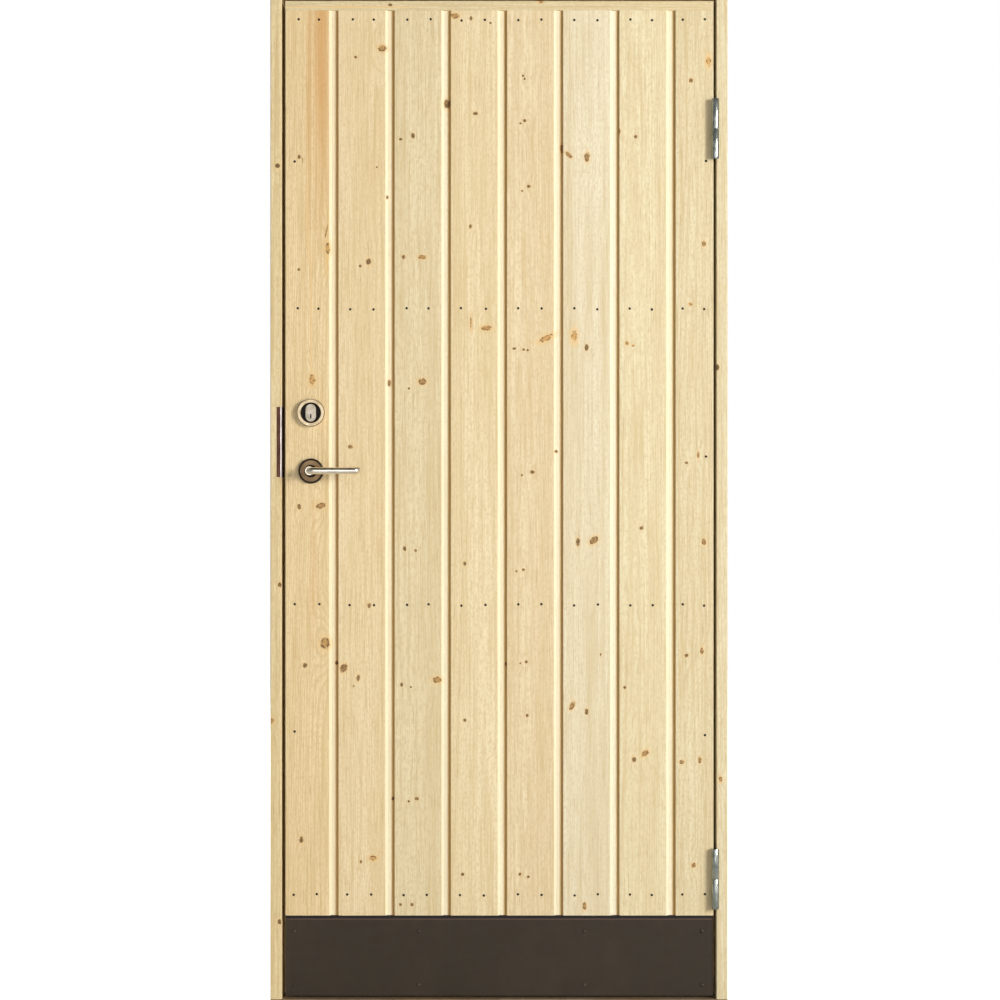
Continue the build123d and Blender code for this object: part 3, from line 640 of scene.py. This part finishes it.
BOARD_COLOURS = (
    (236, 215, 172), (236, 218, 179), (229, 215, 179), (234, 218, 180),
    (232, 215, 179), (232, 222, 194), (231, 219, 184), (224, 211, 176),
)
BOARD_RINGS = (0.6, 0.4, 0.35, 0.35, 0.4, 0.3, 0.35, 0.4)
board_edges = [(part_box(n)[0][0] - leaf_left) / MM for n in BOARDS]
for index, name in enumerate(BOARDS):
    groove = board_edges[index + 1] if index + 1 < len(BOARDS) else None
    plank(name, UP, linear(*BOARD_COLOURS[index]), BOARD_RINGS[index], KNOTS[name], "leaf", groove)
LINING_COLOURS = {
    "lock_jamb": (230, 212, 169), "hinge_jamb": (225, 214, 181),
    "frame_head": (230, 212, 172), "top_strip": (223, 208, 170),
}
BACK_COLOUR = (232, 212, 170)
LINING_RINGS = 0.5
for name, along, body in (
    ("lock_jamb", UP, "frame"), ("hinge_jamb", UP, "frame"), ("frame_head", ACROSS, "frame"),
    ("top_strip", ACROSS, "leaf"), ("lock_stile", UP, "leaf"), ("hinge_stile", UP, "leaf"),
    ("top_rail", ACROSS, "leaf"), ("upper_middle_rail", ACROSS, "leaf"),
    ("lower_middle_rail", ACROSS, "leaf"), ("bottom_rail", ACROSS, "leaf"),
):
    knots = KNOTS.get(name) or chance_knots(name, along)
    plank(name, along, linear(*LINING_COLOURS.get(name, BACK_COLOUR)), LINING_RINGS, knots, body)
dress("threshold", hardwood("threshold_wood"))
dress("kick_backing", hardwood("kick_backing_ply"))

# Metals by colour, darker colour and roughness; what each edge is rounded by, in metres
zinc = metal("zinc", linear(180, 186, 180), linear(122, 128, 124), 0.22, spread=0.14)
nickel = metal("satin_nickel", linear(246, 240, 226), linear(222, 214, 198), 0.26, grain_axis=ACROSS)
cylinder_nickel = metal("cylinder_nickel", linear(186, 176, 160), linear(140, 128, 110), 0.34)
ring_nickel = metal("ring_nickel", linear(216, 198, 166), linear(168, 144, 110), 0.34)
# Painted shade: a dark, dull copy of the nickel for the cylinder ring's rounded rim
ring_rim_shade = metal("ring_rim_shade", linear(78, 58, 36), linear(44, 30, 18), 0.45, metallic=0.6)
rose_nickel = metal("rose_nickel", linear(136, 112, 82), linear(84, 64, 42), 0.36, metallic=0.9)
# Painted shade: a dark, dull copy of the nickel for the roses' rounded rims
rose_rim_shade = metal("rose_rim_shade", linear(50, 38, 26), linear(24, 18, 12), 0.5, ACROSS, metallic=0.5)
lock_steel = metal("lock_steel", linear(186, 186, 184), linear(150, 150, 150), 0.32)
bronze = metal("bronzed_steel", linear(98, 62, 48), linear(62, 38, 28), 0.4, metallic=0.7)
# Painted highlight: a pale, worn-looking copy of the steel for the strike's bent lip, which faces the light
strike_lip_highlight = metal("strike_lip_highlight", linear(216, 208, 204), linear(184, 174, 168), 0.45, metallic=0.3)
HINGE_ROUND = 0.0008
ROSE_ROUND = 0.004
RING_ROUND = 0.0022
CYLINDER_ROUND = 0.0009
PLATE_ROUND = 0.0003
# Height of the painted shadow band on the kick plate's top edge
OVERHANG_SHADOW_HEIGHT = 0.0055
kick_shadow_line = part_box("kick_plate")[1][2] - OVERHANG_SHADOW_HEIGHT
kick_brown = painted("kick_brown", linear(44, 34, 19), linear(58, 47, 32), 0.5, kick_shadow_line)
nail_steel = metal("nail_steel", linear(52, 36, 26), linear(22, 15, 11), 0.6, metallic=0.4)
shadow_black = painted("shadow_black", linear(24, 20, 17), linear(38, 32, 27), 0.6)
ROSES = ("lever_rose_outside", "lever_rose_inside", "thumb_turn_rose")
for name in (f"{place}_hinge_{half}_half" for half in ("frame", "leaf") for place in ("upper", "lower")):
    dress(name, zinc)
    soften(name, HINGE_ROUND)
dress("lock_cylinder", cylinder_nickel)
for name in ("lever_outside", "lever_inside", "thumb_turn"):
    dress(name, nickel)
for name in ROSES:
    dress(name, rose_nickel)
for name in ("mortise_lock", "latch_bolt", "dead_bolt", "spindle"):
    dress(name, lock_steel)
dress("kick_plate", kick_brown)


def two_tone(name, material, other, picks):
    """Give a CAD node a second material on the faces that picks chooses by middle and normal."""
    dress(name, material)
    mesh = nodes[name].data
    mesh.materials.append(other)
    for face in mesh.polygons:
        face.material_index = int(picks(face.center, face.normal))


# Faces with a second material: the bore of the ring and the keyway in black as painted shade, and the
# strike's bent lip as pale worn steel lightened into a painted highlight
RING_BORE = 0.0193
KEYWAY_HALF = 0.0014
KEYWAY_SUNK = 0.0002
LIP_SLANT = 0.15
ring_x, _, ring_z = ((a + b) / 2 for a, b in zip(*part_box("cylinder_ring")))
plug_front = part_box("cylinder_plug")[0][1]


def in_bore(middle, normal):
    return math.hypot(middle[0] - ring_x, middle[2] - ring_z) < RING_BORE


def on_lip(middle, normal):
    return normal[0] > LIP_SLANT and normal[1] < -LIP_SLANT


def in_keyway(middle, normal):
    return abs(middle[0] - ring_x) < KEYWAY_HALF and middle[1] > plug_front + KEYWAY_SUNK


two_tone("cylinder_ring", ring_nickel, shadow_black, in_bore)
# The strike's bent lip, facing the light, takes the painted highlight
two_tone("strike_plate", bronze, strike_lip_highlight, on_lip)
two_tone("cylinder_plug", cylinder_nickel, shadow_black, in_keyway)
# The roses' rounded rims take their painted shade
for name in ROSES:
    soften(name, ROSE_ROUND, 4, rose_rim_shade)
# The ring's rounded rim takes its painted shade
soften("cylinder_ring", RING_ROUND, 3, ring_rim_shade)
soften("lock_cylinder", CYLINDER_ROUND, 3)
soften("kick_plate", PLATE_ROUND)


# Nails and screws
def turned(points, steps=14):
    """A small turned head facing the viewer: rings of (radius, height) from the rim to the middle."""
    head = bmesh.new()
    rows = []
    for radius, height in points:
        rows.append([
            head.verts.new((radius * math.cos(a), -height, radius * math.sin(a)))
            for a in (2 * math.pi * k / steps for k in range(steps))
        ])
    for inner, outer in zip(rows[1:], rows):
        for k in range(steps):
            head.faces.new((outer[k], outer[(k + 1) % steps], inner[(k + 1) % steps], inner[k]))
    head.faces.new(rows[-1])
    head.faces.new(list(reversed(rows[0])))
    bmesh.ops.recalc_face_normals(head, faces=head.faces)
    return head


def fixings(name, head, places, body, material):
    """One object with a copy of a head at each place; each place is a matrix."""
    cast = bpy.data.meshes.new("head")
    head.to_mesh(cast)
    head.free()
    joined = bmesh.new()
    for place in places:
        copy = bmesh.new()
        copy.from_mesh(cast)
        copy.transform(place)
        part = bpy.data.meshes.new("copy")
        copy.to_mesh(part)
        copy.free()
        joined.from_mesh(part)
        bpy.data.meshes.remove(part)
    mesh = bpy.data.meshes.new(name)
    joined.to_mesh(mesh)
    joined.free()
    bpy.data.meshes.remove(cast)
    mesh.materials.append(material)
    piece = bpy.data.objects.new(name, mesh)
    scene.collection.objects.link(piece)
    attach(piece, body)


def on_leaf(u, v, y):
    """A place on the leaf's front, from its lock edge and its foot in millimetres."""
    return Matrix.Translation((leaf_left + u * MM, y, leaf_bottom + v * MM))


# Nails: how far chance moves them in millimetres, and the profiles of their heads in metres
NAIL_ASIDE = (-1, 1)
NAIL_RISE = (-1.5, 1.5)
NAIL_PROFILE = ((0.0025, -0.0006), (0.0025, 0.0001), (0.0019, 0.00018), (0.0011, 0.00005))
KICK_PROFILE = ((0.0038, -0.0006), (0.0038, 0.0004), (0.0032, 0.0012), (0.0018, 0.0017), (0.0007, 0.0018))
nail_places = [
    on_leaf(u + random.uniform(*NAIL_ASIDE), v + random.uniform(*NAIL_RISE), front)
    for v, columns in NAIL_ROWS.items() for u in columns + NAIL_RIGHT
]
nail_places += [on_leaf(u, v, front) for u, v in STILE_NAILS]
fixings("board_nails", turned(NAIL_PROFILE), nail_places, "leaf", nail_steel)

kick_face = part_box("kick_plate")[0][1]
KICK_COLUMNS = (16.5, 257.5, 578.5, 806.5)
KICK_ROWS = (125, 21)
kick_places = [on_leaf(u, v, kick_face) for v in KICK_ROWS for u in KICK_COLUMNS]
kick_nail = painted("kick_nail", linear(40, 32, 24), linear(88, 76, 62), 0.35)
fixings("kick_plate_nails", turned(KICK_PROFILE), kick_places, "leaf", kick_nail)


FOOT_TAPER = 0.9


def screw_head(radius, arm, half, deep, steps=20):
    """A flat countersunk head with a cross recess, facing the viewer."""
    head = bmesh.new()
    angles = [2 * math.pi * k / steps for k in range(steps)]
    rim = [head.verts.new((radius * math.cos(a), 0, radius * math.sin(a))) for a in angles]
    corners = []
    for quarter in range(4):
        turn = Matrix.Rotation(quarter * math.pi / 2, 3, "Y")
        corners += [turn @ Vector(p) for p in ((half, 0, half), (half, 0, arm), (-half, 0, arm))]
    cross = [head.verts.new(p) for p in corners]
    edges = [head.edges.new((a, b)) for a, b in zip(rim, rim[1:] + rim[:1])]
    edges += [head.edges.new((a, b)) for a, b in zip(cross, cross[1:] + cross[:1])]
    bmesh.ops.triangle_fill(head, use_beauty=True, edges=edges)
    sunk = [head.verts.new(p + Vector((0, deep, 0))) for p in corners]
    for k, corner in enumerate(cross):
        after = (k + 1) % len(cross)
        head.faces.new((corner, cross[after], sunk[after], sunk[k]))
    head.faces.new(sunk)
    foot = [head.verts.new(v.co * FOOT_TAPER + Vector((0, deep, 0))) for v in rim]
    for k, point in enumerate(rim):
        after = (k + 1) % steps
        head.faces.new((point, rim[after], foot[after], foot[k]))
    bmesh.ops.recalc_face_normals(head, faces=head.faces)
    return head


def facing(side, x, y, z):
    """A place on an upright face that looks left (-1) or right (+1), with the screw turned by chance."""
    spin = Matrix.Rotation(random.uniform(0, math.pi), 4, "Y")
    return Matrix.Translation((x, y, z)) @ Matrix.Rotation(side * math.pi / 2, 4, "Z") @ spin


# Screws: radius, reach and half width of the cross and its depth; on the hinges, rise and distance back
SCREW = (0.0036, 0.0021, 0.0005, 0.0012)
PROUD = 0.0002
BARREL_RADIUS = 0.007
HINGE_SCREWS = ((0.011, 0.009), (0.029, 0.022), (0.047, 0.009))
leaf_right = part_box(BOARDS[-1])[1][0]
frame_flag_places = []
leaf_flag_places = []
for hinge in ("upper_hinge", "lower_hinge"):
    leaf_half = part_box(hinge + "_leaf_half")
    reveal = 2 * (leaf_half[1][0] - BARREL_RADIUS) - leaf_right
    split = leaf_half[0][2]
    for rise, back in HINGE_SCREWS:
        frame_flag_places.append(facing(-1, reveal - PROUD, front + back, split - rise))
        leaf_flag_places.append(facing(1, leaf_right + PROUD, front + back, split + rise))
fixings("hinge_screws_frame", screw_head(*SCREW), frame_flag_places, "frame", zinc)
fixings("hinge_screws_leaf", screw_head(*SCREW), leaf_flag_places, "leaf", zinc)
lock_low, lock_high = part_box("mortise_lock")
lock_y = (lock_low[1] + lock_high[1]) / 2
FOREND_INSET = 0.0095
forend_heights = (lock_low[2] + FOREND_INSET, lock_high[2] - FOREND_INSET)
forend_places = [facing(-1, lock_low[0] - PROUD, lock_y, z) for z in forend_heights]
fixings("forend_screws", screw_head(*SCREW), forend_places, "leaf", lock_steel)
strike_low, strike_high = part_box("strike_plate")
STRIKE_SCREWS = (0.009, 0.070, 0.127)
strike_places = [facing(1, strike_high[0] + PROUD, lock_y, strike_low[2] + rise) for rise in STRIKE_SCREWS]
fixings("strike_screws", screw_head(*SCREW), strike_places, "frame", bronze)

# Floor, light and camera
PHOTO_PIXELS = 1000
PHOTO_SCALE = 0.001935
CAMERA_AWAY = 4.0
CAMERA_X = 0.0019
CAMERA_Z = 0.987
FLOOR_HALF = 8.0
FLOOR_GLOW = 0.9
FLOOR_CLOUDS = 3.0
FLOOR_DULL = (0.80, 0.80, 0.79, 1)
FLOOR_PALE = (0.84, 0.84, 0.83, 1)
FLOOR_ROUGHNESS = 0.8
WHITE = (1.0, 1.0, 1.0, 1.0)
WARM_WHITE = (1.0, 0.985, 0.96)
WALL_TOP = 0.5
CEILING_EDGE = 0.72
WALL_LIGHT = 0.3
CEILING_LIGHT = 0.02
SENSOR_WIDTH = 36.0
floor_mesh = bpy.data.meshes.new("floor")
floor_mesh.from_pydata([(x, y, 0) for x, y in ((-1, -1), (1, -1), (1, 1), (-1, 1))], [], [(0, 1, 2, 3)])
floor_tree = Tree("floor_pale")
floor_shade = floor_tree.noise(floor_tree.place(), FLOOR_CLOUDS, 4.0)
floor_colour = floor_tree.mix(floor_shade, FLOOR_DULL, FLOOR_PALE)
floor_tree.put(floor_tree.shader.inputs["Base Color"], floor_colour)
floor_tree.shader.inputs["Roughness"].default_value = FLOOR_ROUGHNESS
seen = floor_tree.tree.nodes.new("ShaderNodeLightPath").outputs["Is Camera Ray"]
floor_tree.shader.inputs["Emission Color"].default_value = WHITE
floor_tree.put(floor_tree.shader.inputs["Emission Strength"], floor_tree.math("MULTIPLY", seen, FLOOR_GLOW))
floor_mesh.materials.append(floor_tree.material)
floor = bpy.data.objects.new("floor", floor_mesh)
floor.scale = (FLOOR_HALF, FLOOR_HALF, 1.0)
scene.collection.objects.link(floor)

# A white room with a dark ceiling, which the polished metal shows; the camera sees plain white
world = bpy.data.worlds.new("studio")
scene.world = world
world.use_nodes = True
sky = world.node_tree
room = sky.nodes["Background"]
height = sky.nodes.new("ShaderNodeSeparateXYZ")
sky.links.new(sky.nodes.new("ShaderNodeTexCoord").outputs["Generated"], height.inputs[0])
ceiling = sky.nodes.new("ShaderNodeMapRange")
ceiling.interpolation_type = "SMOOTHSTEP"
for key, number in (
    ("From Min", WALL_TOP), ("From Max", CEILING_EDGE), ("To Min", WALL_LIGHT), ("To Max", CEILING_LIGHT)
):
    ceiling.inputs[key].default_value = number
sky.links.new(height.outputs["Z"], ceiling.inputs["Value"])
sky.links.new(ceiling.outputs["Result"], room.inputs["Strength"])
room.inputs["Color"].default_value = (*WARM_WHITE, 1.0)
plain = sky.nodes.new("ShaderNodeBackground")
plain.inputs["Color"].default_value = WHITE
chosen = sky.nodes.new("ShaderNodeMixShader")
sky.links.new(sky.nodes.new("ShaderNodeLightPath").outputs["Is Camera Ray"], chosen.inputs["Fac"])
sky.links.new(room.outputs[0], chosen.inputs[1])
sky.links.new(plain.outputs[0], chosen.inputs[2])
sky.links.new(chosen.outputs[0], sky.nodes["World Output"].inputs["Surface"])


def area_light(name, spot, aim, size, power, colour=(1, 1, 1)):
    """A round soft light that looks at a point; power in watts."""
    data = bpy.data.lights.new(name, "AREA")
    data.shape = "DISK"
    data.size = size
    data.energy = power
    data.color = colour
    lamp = bpy.data.objects.new(name, data)
    lamp.location = spot
    lamp.rotation_euler = (Vector(aim) - Vector(spot)).to_track_quat("-Z", "Y").to_euler()
    scene.collection.objects.link(lamp)


area_light("key", (4.6, -4.3, 1.95), (0.0, 0.0, 0.95), size=2.1, power=358.0, colour=WARM_WHITE)
area_light("front", (-0.3, -4.8, 1.0), (0.0, 0.0, 1.0), size=3.2, power=44.0)
area_light("back", (-3.4, 4.6, 2.4), (0.0, 0.0, 0.95), size=2.6, power=260.0, colour=WARM_WHITE)

camera_data = bpy.data.cameras.new("camera")
camera_data.sensor_width = SENSOR_WIDTH
camera_data.lens = SENSOR_WIDTH * CAMERA_AWAY / (PHOTO_PIXELS * PHOTO_SCALE)
camera = bpy.data.objects.new("camera", camera_data)
camera.location = (CAMERA_X, front - CAMERA_AWAY, CAMERA_Z)
camera.rotation_euler = (math.radians(90), 0, 0)
scene.collection.objects.link(camera)
scene.camera = camera
scene.view_settings.view_transform = "Standard"
